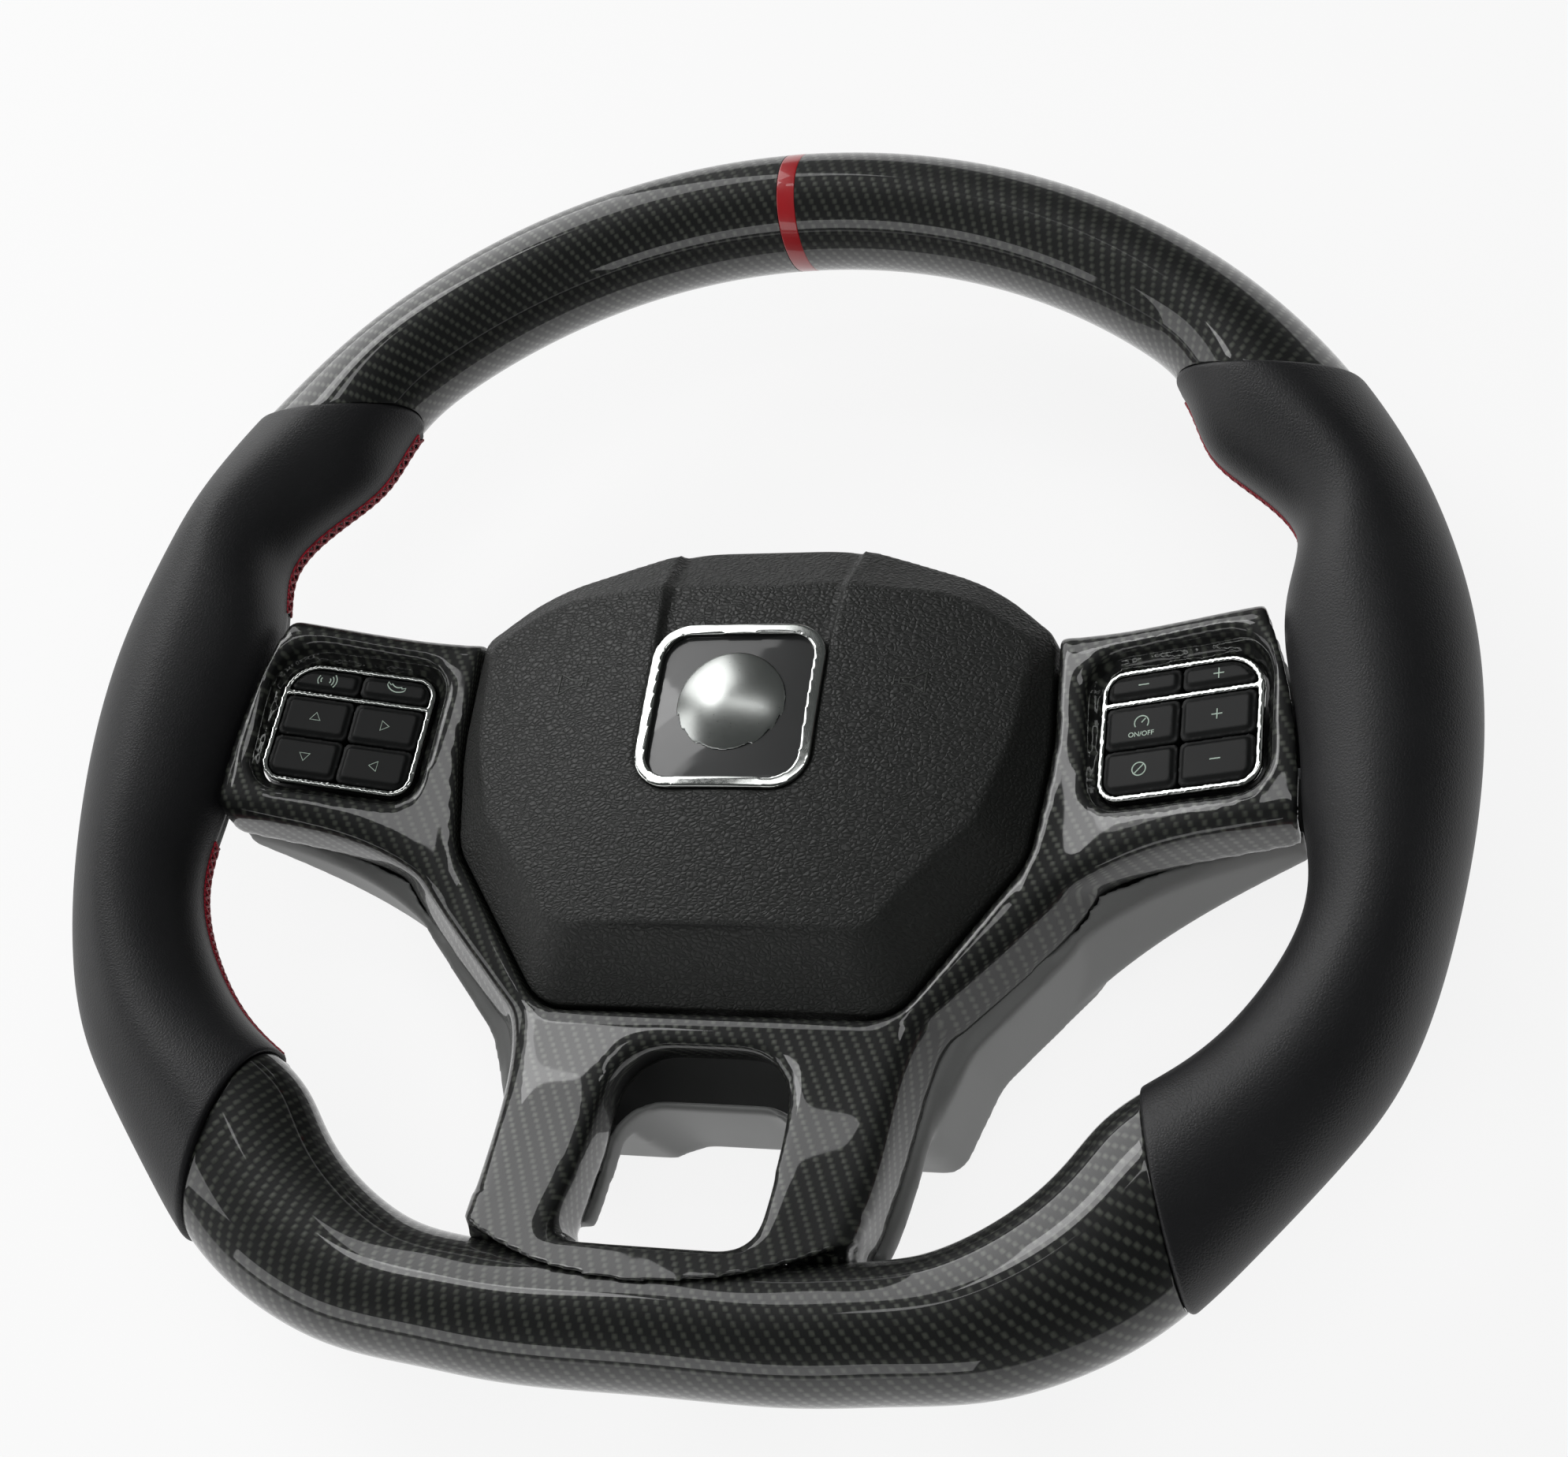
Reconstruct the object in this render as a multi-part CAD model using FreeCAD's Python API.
"""Road-vehicle steering wheel with airbag, switch packs and a hard-shell rim.

Frame: +Z along the steering axis towards the driver, +Y to 12 o'clock, +X to 3 o'clock.
The origin is the centre of the hub bore's mouth. Millimetres.
"""
import FreeCAD, Part
import math
import os

V = FreeCAD.Vector
UP = V(0, 0, 1)
ORIGIN = V(0, 0, 0)
FAR = 260.0                  # beyond every part of the wheel

# ---------------------------------------------------------------- clearances
SEAT_GAP = 0.3               # between curved faces of pieces that only lie close together
COVER_GAP = 1.0              # round the moving airbag cover
KEY_GAP = 0.35               # round each key
SCREW_GAP = 0.05             # radial, screw shank in its hole
GUIDE_GAP = 0.05             # radial, guide pin in its ear
RIM_TO_BEZEL = 0.4           # bezel foot over the rim shell

# ---------------------------------------------------------------- rim
RIM_Z = 62.0                 # height of the rim's middle plane over the hub bore's mouth
RIM_R = 195.0                # outer radius of the rim's round upper part
TUBE_W = 30.5                # radial width of the rim tube at 12 o'clock
TUBE_HALF_Z = 18.0           # half of the tube's depth along the steering axis
GRIP_RIDGE = 1.4             # how far the grip's front ridge stands over an ellipse
LEATHER_PROUD = 1.2          # step between the leather grip and the hard shell
SHELL_T = 2.2                # thickness of the hard shell
ROD_HALF_R = 5.0             # metal ring in the rim, half width
ROD_HALF_Z = 6.5             # metal ring in the rim, half depth
STRIPE_W = 5.0               # width of the marker stripe at 12 o'clock
STRIPE_T = 0.9               # depth of its groove in the shell
RING_STEPS = 80              # control points round the rim
TUBE_STEPS = 12              # control points round the tube

# Each station is (angle from 3 o'clock in degrees, outer radius, inner radius) of the shell's level.
STATION_TOP = (90.0, RIM_R, RIM_R - TUBE_W)
STATION_SHOULDER = (68.0, RIM_R, RIM_R - TUBE_W)
STATION_JUNCTION = (50.0, RIM_R, RIM_R - TUBE_W)
STATION_THUMB_START = (45.0, RIM_R, 161.0)
STATION_THUMB = (40.0, RIM_R, 155.0)
STATION_THUMB_END = (34.5, 194.6, 159.0)
STATION_NECK = (28.0, 194.0, 164.0)
STATION_SPOKE_TOP = (21.5, 193.0, 151.5)
STATION_SPOKE_UPPER = (16.0, 192.0, 148.4)
STATION_SPOKE = (8.0, 189.4, 148.2)
STATION_SPOKE_LOWER = (0.5, 186.8, 148.4)
STATION_BELOW_SPOKE = (-7.0, 184.8, 152.8)
STATION_KINK = (-19.5, 183.4, 146.0)
STATION_FACET = (-28.0, 178.4, 137.0)
STATION_HORN = (-35.0, 175.2, 129.0)
STATION_CORNER = (-44.0, 173.6, 130.6)
STATION_LOWER = (-56.0, 166.8, 128.6)
STATION_FLAT_START = (-70.0, 153.8, 119.8)
STATION_BOTTOM = (-90.0, 146.0, 112.5)
STATIONS = (STATION_BOTTOM, STATION_FLAT_START, STATION_LOWER, STATION_CORNER, STATION_HORN,
            STATION_FACET, STATION_KINK, STATION_BELOW_SPOKE, STATION_SPOKE_LOWER, STATION_SPOKE,
            STATION_SPOKE_UPPER, STATION_SPOKE_TOP, STATION_NECK, STATION_THUMB_END, STATION_THUMB,
            STATION_THUMB_START, STATION_JUNCTION, STATION_SHOULDER, STATION_TOP)

# Upright cuts between leather and shell, in plan, right-hand side.
UPPER_CUT_IN = (112.0, 119.5)
UPPER_CUT_MID = (134.0, 114.5)
UPPER_CUT_OUT = (160.0, 117.0)
LOWER_CUT_IN = (112.0, -56.0)
LOWER_CUT_OUT = (130.5, -126.5)

# Seam stitching along the inside of the grips.
SEAM_DROP = 6.5              # seam below the rim's middle plane
STITCH_R = 0.45              # thread radius
STITCH_L = 6.0               # thread crossing the seam
STITCH_PITCH = 4.6
SEAM_TILT = 20.0             # lean of the surface at the seam, degrees
SEAM_END_MARGIN = 4.0        # bare leather before each edge
SEAM_ROOT_LOW = -8.0         # no stitches behind the wing, between these two heights
SEAM_ROOT_HIGH = 62.0

# ---------------------------------------------------------------- hub and armature
HUB_BORE_R = 10.0            # plain pilot at the mouth, the mount
HUB_PILOT_L = 8.0
SPLINE_R = 9.2               # mean radius of the serrated stretch
SPLINE_TOOTH = 0.5
SPLINE_TEETH = 36
SPLINE_TOP_Z = 14.0
INSERT_R = 17.0
INSERT_TOP_Z = 18.0
INSERT_FLANGE_R = 22.0
INSERT_FLANGE_LOW_Z = 5.0
INSERT_FLANGE_HIGH_Z = 9.0
BOLT_R = 7.0
BOLT_HOLE_R = 7.4
BOLT_END_Z = 9.0             # the shank stops above the pilot stretch
WASHER_R = 14.0
WASHER_T = 2.0
BOLT_HEAD_AF = 22.0          # across flats
BOLT_HEAD_H = 7.0
CAST_HUB_R = 34.0
CAST_HUB_LOW_Z = 3.0
PLATE_LOW_Z = 12.0
PLATE_TOP_Z = 16.0
ARM_W = 18.0                 # side spokes of the casting
ARM_T = 7.0
LEG_W = 12.0                 # lower spokes of the casting
LEG_T = 9.0
# Side arm: (x, y, height of its middle) on the right-hand side.
ARM_ROOT = (40.0, 10.0, 14.0)
ARM_KNEE = (86.0, 19.0, 21.0)
ARM_BEND = (122.0, 25.5, 36.3)
ARM_OUTER = (136.0, 26.5, 42.2)
ARM_RISE = (148.0, 27.0, 49.5)
ARM_NECK = (157.0, 27.0, 57.5)
ARM_END = (167.0, 27.0, 62.0)
LEG_ROOT = (24.0, -24.0, 14.0)
LEG_KNEE = (38.0, -48.0, 20.0)
LEG_BEND = (39.0, -70.0, 42.0)
LEG_RISE = (39.0, -106.0, 61.5)
LEG_END = (41.0, -130.0, 62.0)

# ---------------------------------------------------------------- airbag module
COVER_TOP = (24.0, 80.5, 70.0)         # each: x, y, corner radius of the cover's outline
COVER_SHOULDER = (63.0, 68.0, 60.0)
COVER_CORNER = (80.5, 53.5, 6.0)
COVER_SIDE = (81.8, 22.0, 80.0)
COVER_HIP = (78.0, -6.5, 16.0)
COVER_FOOT = (48.0, -48.5, 13.0)
FACE_TOP = (20.0, 62.0, 30.0)          # the same for the edge of the raised face
FACE_SHOULDER = (52.0, 56.0, 22.0)
FACE_CORNER = (68.5, 44.0, 10.0)
FACE_SIDE = (69.0, 20.0, 80.0)
FACE_HIP = (63.5, 1.0, 14.0)
FACE_FOOT = (42.0, -31.0, 13.0)
COVER_SKIRT_Z = 40.0
COVER_EDGE_Z = 52.0          # where the sides bend inwards
COVER_FACE_Z = 65.0          # where the ruled bevel would end without the crown
CROWN_Z = 69.0               # highest point of the crowned face
CROWN_R = 330.0
CROWN_Y = 2.0
COVER_T = 3.6
CHANNEL_DEPTH = 2.2          # sunk strip above the emblem
CHANNEL_TOP_X = 26.0
CHANNEL_LOW_X = 23.5
CHANNEL_LOW_Y = 40.0
EMBLEM_W = 48.0              # plain plate on the cover
EMBLEM_H = 47.0
EMBLEM_CORNER_R = 10.0
EMBLEM_Y = 28.5
EMBLEM_RING_W = 3.0
EMBLEM_POCKET = 2.2
EMBLEM_PLATE_DROP = 1.0
EMBLEM_RING_STAND = 0.9
MEDAL_R = 15.0
MEDAL_H = 4.0
CAN_HALF_X = 54.0
CAN_LOW_Y = -28.5
CAN_HIGH_Y = 58.5
CAN_CORNER_R = 10.0
CAN_FLOOR_Z = 37.0
CAN_T = 1.5
CAN_TOP_Z = 53.0
INFLATOR_Y = 15.0
INFLATOR_R = 31.0
INFLATOR_LOW_Z = 31.0
INFLATOR_TOP_Z = 57.0
INFLATOR_FLANGE_R = 41.0
INFLATOR_FLANGE_T = 1.5
RETAINER_OUT_R = 41.5
RETAINER_T = 2.0
STUD_CIRCLE_R = 36.5
STUD_R = 2.5
NUT_R = 5.0
NUT_H = 3.6
CUSHION_INSET = 1.5
CUSHION_TOP_Z = 60.0
CUSHION_ROUND = 4.0
EAR_R = 8.5
EAR_X = 63.0                 # side ears
EAR_Y = 40.0
EAR_LOW_Y = -37.0            # lower ear, on the centre line
PIN_R = 3.0
PIN_HEAD_R = 5.0
PIN_HEAD_H = 2.5
SPRING_R = 5.6
SPRING_WIRE_R = 0.7
SPRING_TURNS = 5
HORN_TRAVEL = 2.5
CONTACT_X = 48.0             # horn contacts, one pair on each side
CONTACT_Y = 30.5
CONTACT_R = 3.0
CONTACT_T = 1.0              # moving contact under the can's floor
CONTACT_GAP = HORN_TRAVEL + 0.2   # open contact; a little more than the horn's travel
CONTACT_FOOT_R = 4.5
CONTACT_FOOT_T = 1.5

# ---------------------------------------------------------------- bezel
BEZEL_T = 2.5
HOLLOW_OVERRUN = 1.5         # how far a hollow runs past its open side
WING_END_R = 146.8           # where the wings stop, from the steering axis
WING_TRIM_X = 120.0          # the trims of wings and foot reach over these
WING_TRIM_Y = 90.0
FOOT_TRIM_Y = -95.0
TRIM_TOLERANCE = 0.001
WING_ROUND = 5.0
# Wing sections: x, lower y, upper y, seam height, top height (heights from the rim's middle plane).
WING_ROOT = (78.0, -24.0, 54.0, -22.0, -9.0)
WING_INNER = (98.0, -9.5, 54.0, -20.0, -6.0)
WING_MIDDLE = (122.0, -3.5, 55.5, -15.0, 0.5)
WING_OUTER = (150.0, 0.5, 58.5, -9.0, 4.0)
WING_FLARE_LOW = 3.0
WING_FLARE_HIGH = 1.0
# Outer edge of the band between wing and lower spoke: x, y, corner radius.
BAND_TOP = (100.0, 20.0, 8.0)
BAND_HIP = (94.0, -11.0, 14.0)
BAND_SIDE = (76.0, -30.5, 30.0)
BAND_WAIST = (54.5, -52.5, 9.0)
BAND_TOP_Z = 52.5
BAND_SEAM_Z = 39.4
BAND_FLARE = 5.0            # how far its side leans out at the seam
BAND_ROUND = 4.0
ROUND_SHOULDER = 0.3         # share of the rounding taken by its first facet
# Lower spoke sections: y, half width at the top, half width at the seam, seam height, top height.
SPOKE_HEAD = (-44.5, 57.0, 66.0, -22.4, -10.3)
SPOKE_WAIST = (-56.0, 52.5, 60.0, -22.0, -8.5)
SPOKE_MIDDLE = (-82.0, 51.8, 55.0, -19.0, -3.0)
SPOKE_LOW = (-104.0, 51.2, 52.0, -12.0, 7.0)
SPOKE_FOOT = (-126.0, 51.0, 51.0, 2.0, 19.5)
SPOKE_ROUND = 5.0
FOOT_CORNER = (51.2, -107.5)
FOOT_END_Y = -122.5
WINDOW_TOP_Y = -59.0
WINDOW_LOW_Y = -112.5
WINDOW_TOP_X = 24.0
WINDOW_LOW_X = 26.5
WINDOW_TOP_R = 15.0
WINDOW_LOW_R = 7.0

# ---------------------------------------------------------------- switch packs
PACK_CENTRE = (115.5, 26.2, 56.0)
PACK_ACROSS = (41.6, 2.5, 9.0)         # direction from its inner to its outer side
PACK_UPWARDS = (-2.0, 35.0, -3.6)      # direction from its lower to its upper side
FRAME_W = 43.0
FRAME_H = 36.5
FRAME_R = 6.0
FRAME_OUTER_R = 10.0         # its upper outer corner
FRAME_LINE = 1.4
FRAME_STAND = 1.0            # over the pack's plane
FRAME_SINK = 1.0
CROSSBAR_V = 8.8
RECESS_MARGIN = 2.2
RECESS_TAPER = 3.5
RECESS_SINK = 0.6
RECESS_DEPTH = 10.0
PACK_DEPTH = 12.8
PACK_WALL = 1.5
GUIDE_TOP = 4.5              # guide plate below the pack's plane
GUIDE_T = 2.0
BOARD_TOP = 10.4
CAP_TOP = 1.0
CAP_BOTTOM = 3.3
PAD_INSET = 1.6
PAD_STAND = 0.7
CAP_R = 1.6
STEM_W = 10.0
STEM_H = 5.0
STEM_END = 9.0
LUG_W = 8.0
LUG_REACH = 6.0
LUG_T = 2.0
LUG_SEAT = 3.4
SCREW_R = 1.1
SCREW_HEAD_R = 2.2
SCREW_HEAD_H = 1.6
SCREW_BITE = 1.8

# ---------------------------------------------------------------- rear shroud
SPOKE_JOINT_X = 92.0         # where the spoke covers meet the bowl
LEG_JOINT_Y = -76.0          # where the leg covers meet the bowl
SHROUD_T = 2.2
SHROUD_REAR_Z = -2.0
SHROUD_HOLE_R = 47.0
TRAY_LEAN = 5.0
# Shroud wing sections: x, y under the bezel, y of the ledge's edge, y of the rear edge, upper y, then the
# rear, ledge and front heights from the rim's middle plane. The front is trimmed to the bezel's seam.
TRAY_ROOT = (78.0, -24.0, -37.5, -38.5, 52.0, -60.0, -24.0, -18.0)
TRAY_INNER = (98.0, -9.5, -19.0, -21.0, 51.0, -55.0, -21.5, -16.0)
TRAY_MIDDLE = (122.0, -2.5, -8.0, -9.5, 53.0, -42.0, -19.0, -11.0)
TRAY_OUTER = (146.5, 1.5, -2.0, -3.5, 56.0, -24.0, -15.0, -4.0)
TRAY_LEDGE_R = 1.2
TRAY_ROUND = 5.0
BOWL_TOP = (30.0, 72.0, 30.0)          # outline of the hub bowl: x, y, corner radius
BOWL_SHOULDER = (76.0, 58.0, 18.0)
BOWL_SIDE = (93.0, 16.0, 30.0)
BOWL_HIP = (92.0, -24.0, 14.0)
BOWL_ELBOW = (66.0, -53.5, 18.0)
BOWL_FOOT = (57.0, -77.5, 8.0)
BOWL_TAPER = 5.0             # how much smaller the outline is at the rear
BOWL_ROUND = 4.0
BOWL_ROOF_Z = 39.0
ARCH_TOP_Y = -72.0           # arch in the lower wall, seen through the window
ARCH_HALF_X = 25.0
ARCH_R = 12.0
ARCH_FLARE = 3.0
# Shroud sections under the lower spoke: y, half width, rear and front heights.
LEG_COVER_HEAD = (-30.0, 58.0, -32.0, -19.0)
LEG_COVER_WAIST = (-56.0, 56.5, -31.0, -18.0)
LEG_COVER_MIDDLE = (-82.0, 53.0, -27.0, -14.0)
LEG_COVER_LOW = (-104.0, 50.6, -19.0, -8.0)
LEG_COVER_R = 4.0
BOSS_R = 5.0
BOSS_X = 62.0
BOSS_Y = 14.0
BOSS_LOW_X = 35.0
BOSS_LOW_Y = -43.0
SHROUD_SCREW_R = 2.0
SHROUD_SCREW_HEAD_R = 4.0
SHROUD_SCREW_HEAD_H = 2.5

# ---------------------------------------------------------------- sockets for the leads
SOCKET_GAP = 0.1             # between a socket and what it stands on
PACK_SOCKET_T = 5.0
PACK_SOCKET_W = 12.0
PACK_SOCKET_LOW = -13.0      # heights in the pack's own frame
PACK_SOCKET_HIGH = -7.0
SOCKET_ROUND = 0.8
SOCKET_WALL = 1.0
SOCKET_DEPTH = 4.0
CONNECTOR_W = 20.0           # main connector on the carrier plate
CONNECTOR_D = 10.0
CONNECTOR_Y = 26.0
CONNECTOR_TOP_Z = 25.0
CONNECTOR_ROUND = 1.0
SQUIB_X = -20.0              # igniter socket under the inflator
SQUIB_Y = 4.0
SQUIB_R = 5.0
SQUIB_LOW_Z = 27.0

# ---------------------------------------------------------------- small general values
SMALL_R = 0.4                # corners that are drawn sharp
TINY = 0.01                  # smallest offset used
STITCH_CLEAR = 0.12          # thread over the leather
BOSS_GAP = 0.2
SHROUD_SCREW_GRIP = 4.0


# ================================================================ helpers
def in_plan(point):
    return V(point[0], point[1], 0)


def mirrored(shape):
    return shape.mirror(ORIGIN, V(1, 0, 0))


def both_sides(shape):
    return shape.fuse(mirrored(shape)).removeSplitter()


def cylinder(radius, low, high, x=0.0, y=0.0):
    return Part.makeCylinder(radius, high - low, V(x, y, low), UP)


def box(x0, x1, y0, y1, z0, z1):
    return Part.makeBox(x1 - x0, y1 - y0, z1 - z0, V(x0, y0, z0))


def prism(wire, low, high):
    """Upright solid over a flat wire drawn at height 0."""
    solid = Part.Face(wire).extrude(V(0, 0, high - low))
    solid.translate(V(0, 0, low))
    return solid


def polygon_prism(points, low, high):
    corners = [in_plan(p) for p in points]
    return prism(Part.makePolygon(corners + corners[:1]), low, high)


def hexagon(corner_r, low, high, x=0.0, y=0.0):
    angles = [math.pi * k / 3 for k in range(6)]
    corners = [(x + corner_r * math.cos(a), y + corner_r * math.sin(a)) for a in angles]
    return polygon_prism(corners, low, high)


def rounded_wire(corners, make=in_plan):
    """Closed wire of straight lines and corner arcs. Each corner is (x, y, radius)."""
    edges = []
    starts = []
    ends = []
    mids = []
    count = len(corners)
    for i, (x, y, radius) in enumerate(corners):
        here = V(x, y, 0)
        before = in_plan(corners[i - 1]) - here
        after = in_plan(corners[(i + 1) % count]) - here
        half = before.getAngle(after) / 2
        reach = radius / math.tan(half)
        middle = (before.normalize() + after.normalize()).normalize()
        starts.append(here + before * reach)
        ends.append(here + after * reach)
        mids.append(here + middle * (radius / math.sin(half) - radius))
    for i in range(count):
        edges.append(Part.Arc(make(starts[i]), make(mids[i]), make(ends[i])).toShape())
        edges.append(Part.LineSegment(make(ends[i]), make(starts[(i + 1) % count])).toShape())
    return Part.Wire(edges)


def two_sided(half):
    """Corners of an outline symmetric about x = 0, from the right-hand corners, top first."""
    return list(half) + [(-x, y, r) for x, y, r in reversed(half)]


def rectangle(width, height, radius, x=0.0, y=0.0):
    w = width / 2
    h = height / 2
    return [(x + w, y + h, radius), (x + w, y - h, radius), (x - w, y - h, radius), (x - w, y + h, radius)]


def offset_wire(wire, distance):
    face = Part.Face(wire)
    return face.makeOffset2D(distance, 0, False, False, False).OuterWire


def lifted(wire, height):
    copy = wire.copy()
    copy.translate(V(0, 0, height))
    return copy


def bar(points, width, thickness):
    """Ruled bar along points in the plan's x direction; each section is width in y by thickness in z."""
    wires = []
    for x, y, z in points:
        w = width / 2
        t = thickness / 2
        corners = [V(x, y - w, z - t), V(x, y + w, z - t), V(x, y + w, z + t), V(x, y - w, z + t)]
        wires.append(Part.makePolygon(corners + corners[:1]))
    return Part.makeLoft(wires, True, True)


def leg_bar(points, width, thickness):
    """The same along the plan's y direction."""
    wires = []
    for x, y, z in points:
        w = width / 2
        t = thickness / 2
        corners = [V(x - w, y, z - t), V(x + w, y, z - t), V(x + w, y, z + t), V(x - w, y, z + t)]
        wires.append(Part.makePolygon(corners + corners[:1]))
    return Part.makeLoft(wires, True, True)


def grouped(solids):
    return Part.makeCompound(solids)


def main_body(shape):
    """The largest solid, without slivers left by trimming."""
    return max(shape.Solids, key=lambda solid: solid.Volume)


# ================================================================ rim surfaces
def slopes(xs, ys):
    steps = [(ys[i + 1] - ys[i]) / (xs[i + 1] - xs[i]) for i in range(len(xs) - 1)]
    inner = [0.0 if a * b <= 0 else 2 * a * b / (a + b) for a, b in zip(steps, steps[1:])]
    return [0.0] + inner + [0.0]


def smooth_value(xs, ys, x):
    """Monotone cubic curve through the stations."""
    m = slopes(xs, ys)
    i = max(0, min(len(xs) - 2, sum(1 for v in xs if v <= x) - 1))
    h = xs[i + 1] - xs[i]
    t = (x - xs[i]) / h
    start = (2 * t ** 3 - 3 * t ** 2 + 1) * ys[i] + (t ** 3 - 2 * t ** 2 + t) * h * m[i]
    end = (3 * t ** 2 - 2 * t ** 3) * ys[i + 1] + (t ** 3 - t ** 2) * h * m[i + 1]
    return start + end


STATION_ANGLES = [s[0] for s in STATIONS]
STATION_OUTER = [s[1] for s in STATIONS]
STATION_INNER = [s[2] for s in STATIONS]


def rim_radii(angle):
    """Outer and inner radius of the shell's level at any angle; the rim is the same on both sides."""
    folded = angle if angle <= 90.0 else 180.0 - angle
    outer = smooth_value(STATION_ANGLES, STATION_OUTER, folded)
    return outer, smooth_value(STATION_ANGLES, STATION_INNER, folded)


def closed_ring(half_width, half_depth, ridge=0.0):
    """Solid ring of spline surface; the two functions give the section's half sizes at an angle."""
    fit = 6.0 / (4.0 + 2.0 * math.cos(2 * math.pi / TUBE_STEPS))
    net = []
    for i in range(RING_STEPS):
        angle = -90.0 + 360.0 * i / RING_STEPS
        outer, inner = rim_radii(angle)
        out = V(math.cos(math.radians(angle)), math.sin(math.radians(angle)), 0)
        centre = out * ((outer + inner) / 2) + UP * RIM_Z
        row = []
        for k in range(TUBE_STEPS):
            phi = 2 * math.pi * k / TUBE_STEPS
            crest = ridge if k == TUBE_STEPS // 4 else 0.0
            row.append(centre + out * (half_width(outer, inner) * fit * math.cos(phi))
                       + UP * (half_depth * fit * math.sin(phi) + crest))
        net.append(row)
    surface = Part.BSplineSurface()
    ring_knots = list(range(RING_STEPS + 1))
    tube_knots = list(range(TUBE_STEPS + 1))
    surface.buildFromPolesMultsKnots(net, [1] * len(ring_knots), [1] * len(tube_knots), ring_knots, tube_knots,
                                     True, True, 3, 3)
    return Part.makeSolid(Part.makeShell([surface.toShape()]))


def rim_ring(grow, ridge=0.0):
    return closed_ring(lambda outer, inner: (outer - inner) / 2 + grow, TUBE_HALF_Z + grow, ridge)


def upper_region():
    """Everything above the leather's upper edges."""
    inner, middle, outer = [in_plan(p) for p in (UPPER_CUT_IN, UPPER_CUT_MID, UPPER_CUT_OUT)]
    arc = Part.Arc(inner, middle, outer).toShape()
    rest = [in_plan(p) for p in (UPPER_CUT_OUT, (FAR, UPPER_CUT_OUT[1]), (FAR, FAR), (0, FAR),
                                 (0, UPPER_CUT_IN[1]), UPPER_CUT_IN)]
    edges = [Part.LineSegment(a, b).toShape() for a, b in zip(rest, rest[1:])]
    return both_sides(prism(Part.Wire([arc] + edges), -FAR, FAR))


def lower_region():
    """Everything below the leather's lower edges."""
    corners = ((0, LOWER_CUT_IN[1]), LOWER_CUT_IN, LOWER_CUT_OUT, (LOWER_CUT_OUT[0], -FAR), (0, -FAR))
    return both_sides(polygon_prism(corners, -FAR, FAR))


leather_level = rim_ring(LEATHER_PROUD, GRIP_RIDGE)
shell_level = rim_ring(0.0)
stripe_level = rim_ring(-STRIPE_T)
core_level = rim_ring(-SHELL_T)
rod = closed_ring(lambda outer, inner: ROD_HALF_R, ROD_HALF_Z)
above = upper_region()
below = lower_region()
right_half = box(0, FAR, -FAR, FAR, -FAR, FAR)
left_half = box(-FAR, 0, -FAR, FAR, -FAR, FAR)

# ================================================================ hub, casting
side_arm = bar((ARM_ROOT, ARM_KNEE, ARM_BEND, ARM_OUTER, ARM_RISE, ARM_NECK, ARM_END), ARM_W, ARM_T)
lower_leg = leg_bar((LEG_ROOT, LEG_KNEE, LEG_BEND, LEG_RISE, LEG_END), LEG_W, LEG_T)
arm_room = bar((ARM_ROOT, ARM_KNEE, ARM_BEND, ARM_OUTER, ARM_RISE, ARM_NECK, ARM_END), ARM_W + 2 * SEAT_GAP,
               ARM_T + 2 * SEAT_GAP)
leg_room = leg_bar((LEG_ROOT, LEG_KNEE, LEG_BEND, LEG_RISE, LEG_END), LEG_W + 2 * SEAT_GAP, LEG_T + 2 * SEAT_GAP)
spoke_room = [arm_room, mirrored(arm_room), leg_room, mirrored(leg_room)]
insert_flange = cylinder(INSERT_FLANGE_R, INSERT_FLANGE_LOW_Z, INSERT_FLANGE_HIGH_Z)
insert_blank = cylinder(INSERT_R, 0, INSERT_TOP_Z).fuse(insert_flange)


def serrated_hole(low, high):
    points = []
    for i in range(2 * SPLINE_TEETH):
        radius = SPLINE_R + (SPLINE_TOOTH / 2 if i % 2 else -SPLINE_TOOTH / 2)
        a = math.pi * i / SPLINE_TEETH
        points.append((radius * math.cos(a), radius * math.sin(a)))
    return polygon_prism(points, low, high)


hub_insert = insert_blank.cut(cylinder(HUB_BORE_R, 0, HUB_PILOT_L))
hub_insert = hub_insert.cut(serrated_hole(HUB_PILOT_L, SPLINE_TOP_Z))
hub_insert = hub_insert.cut(cylinder(BOLT_HOLE_R, SPLINE_TOP_Z, INSERT_TOP_Z))

washer_top = INSERT_TOP_Z + WASHER_T
hub_washer = cylinder(WASHER_R, INSERT_TOP_Z, washer_top).cut(cylinder(BOLT_HOLE_R, INSERT_TOP_Z, washer_top))
bolt_corner_r = BOLT_HEAD_AF / 2 / math.cos(math.pi / 6)
hub_bolt = hexagon(bolt_corner_r, washer_top, washer_top + BOLT_HEAD_H)
hub_bolt = hub_bolt.fuse(cylinder(BOLT_R, BOLT_END_Z, washer_top))

ear_places = ((EAR_X, EAR_Y), (-EAR_X, EAR_Y), (0.0, EAR_LOW_Y))
carrier = cylinder(CAST_HUB_R, CAST_HUB_LOW_Z, PLATE_TOP_Z)
for ear_x, ear_y in ear_places:
    lobe = cylinder(EAR_R, PLATE_LOW_Z, PLATE_TOP_Z, ear_x, ear_y)
    web_along = V(ear_x, ear_y, 0)
    web = box(0, web_along.Length, -EAR_R, EAR_R, PLATE_LOW_Z, PLATE_TOP_Z)
    web.rotate(ORIGIN, UP, math.degrees(math.atan2(ear_y, ear_x)))
    carrier = carrier.fuse([lobe, web])
armature = carrier.fuse([side_arm, mirrored(side_arm), lower_leg, mirrored(lower_leg)]).fuse(rod)
armature = armature.cut(insert_blank)
armature = armature.cut(cylinder(INSERT_R, -1.0, INSERT_TOP_Z + FAR))

for ear_x, ear_y in ear_places:
    armature = armature.cut(cylinder(PIN_R, PLATE_LOW_Z, PLATE_TOP_Z, ear_x, ear_y))

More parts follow.
